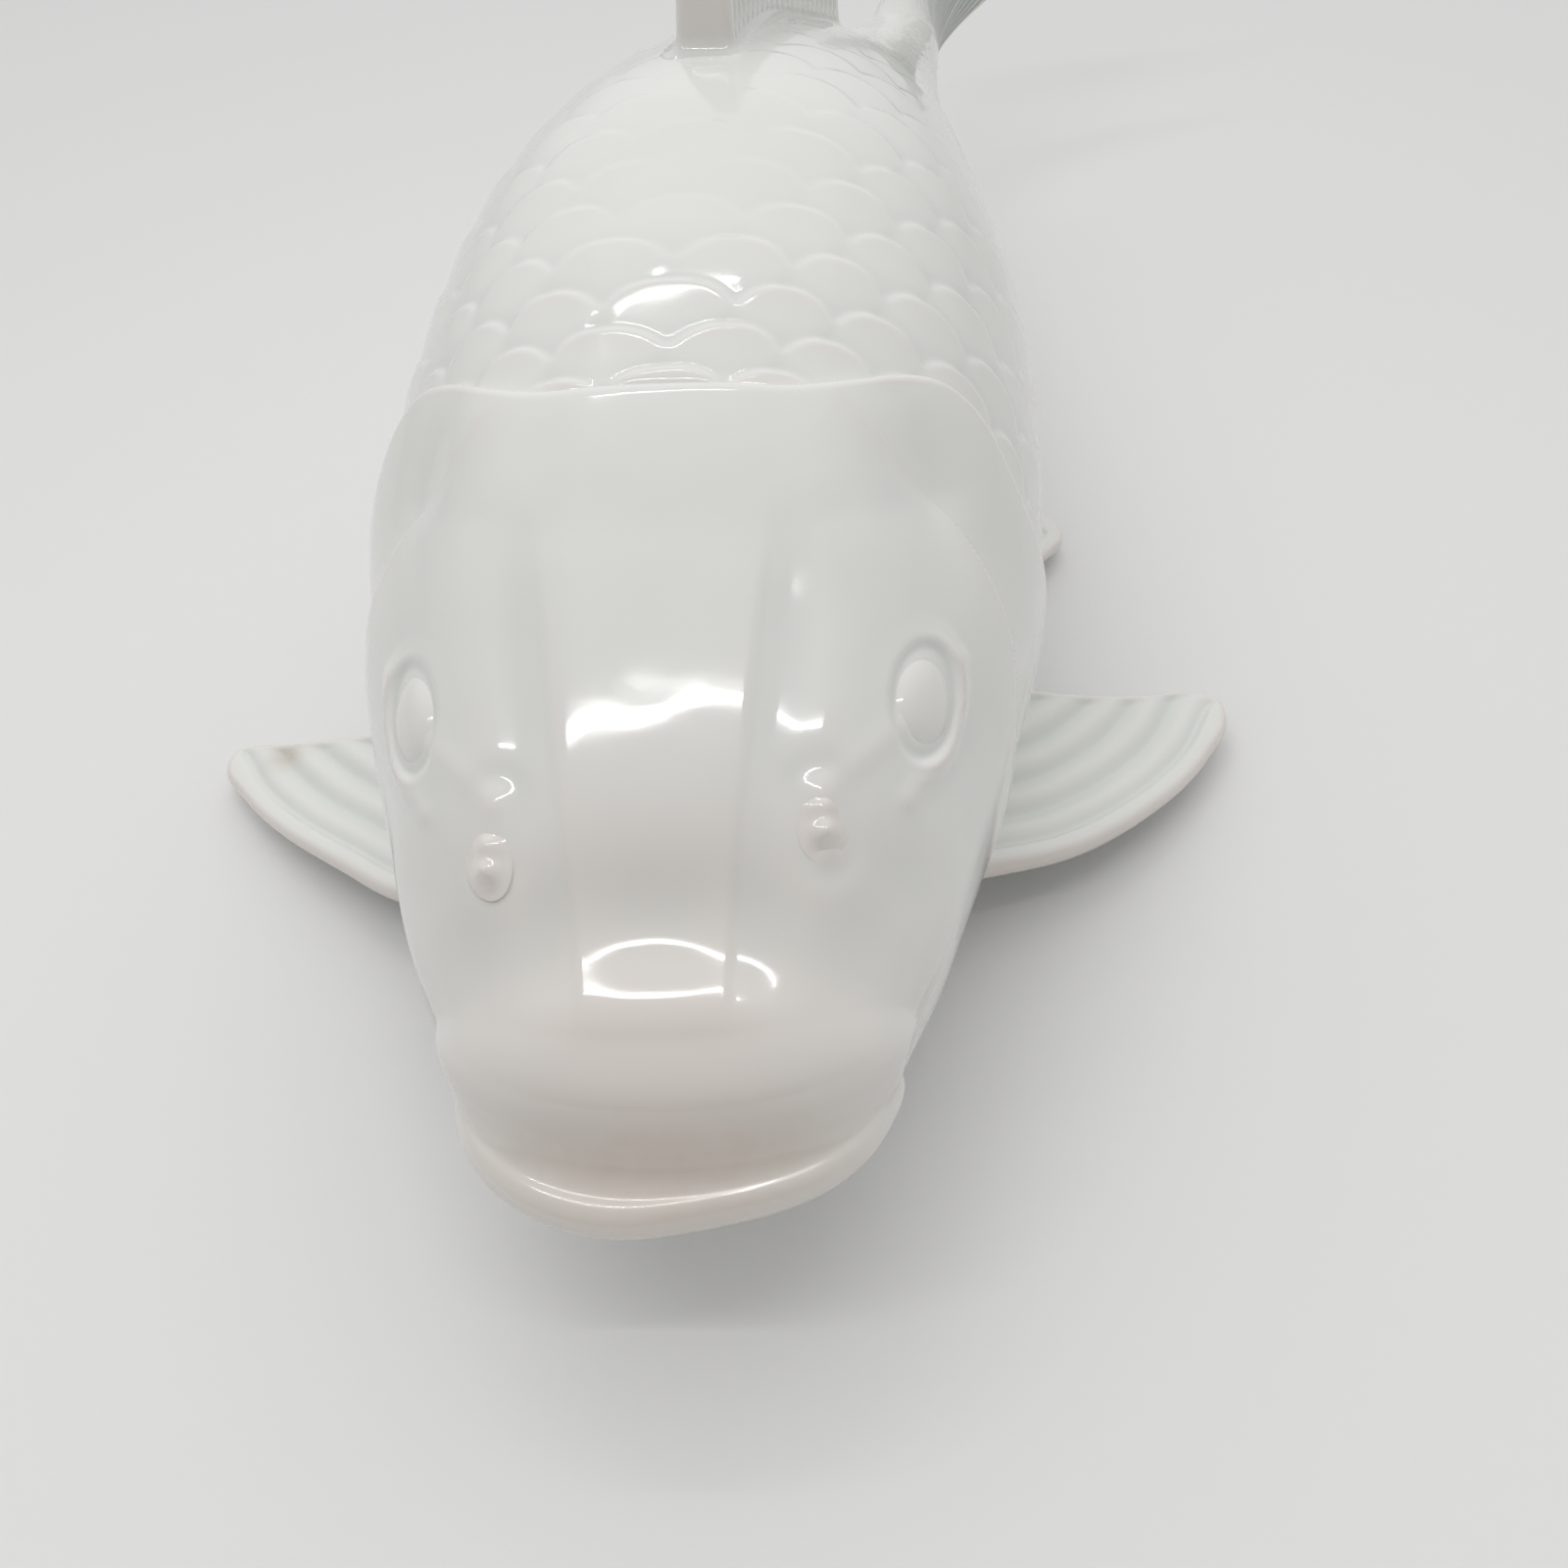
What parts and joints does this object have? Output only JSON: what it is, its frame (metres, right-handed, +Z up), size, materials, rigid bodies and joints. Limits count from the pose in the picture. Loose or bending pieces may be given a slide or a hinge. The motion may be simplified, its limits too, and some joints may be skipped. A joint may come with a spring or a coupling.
{
  "type": "fish figurine",
  "caption": "Glossy white porcelain carp lying on its belly, with scales, spread fins and a raised, curved tail; a free-standing ornament.",
  "frame": {"origin": "middle of the flat unglazed foot under the belly", "axes": "-Y towards the snout, +Y towards the tail, +X to the fish's own left, towards which the tail swings, +Z up"},
  "size_m": [0.1759, 0.302, 0.1247],
  "materials": {
    "glaze": "glossy clear glaze over white porcelain, faintly grey-green where it pools"
  },
  "bodies": {
    "root": {"trunk_casting": "glaze", "head_casting": "glaze", "gill_cover_left": "glaze", "gill_cover_right": "glaze", "eye_left": "glaze", "eye_right": "glaze", "nostril_flap_left": "glaze", "nostril_flap_right": "glaze", "dorsal_fin": "glaze", "tail_fin": "glaze", "anal_fin": "glaze", "pelvic_fin_left": "glaze", "pelvic_fin_right": "glaze", "pectoral_fin_left": "glaze", "pectoral_fin_right": "glaze"}
  },
  "joints": []
}
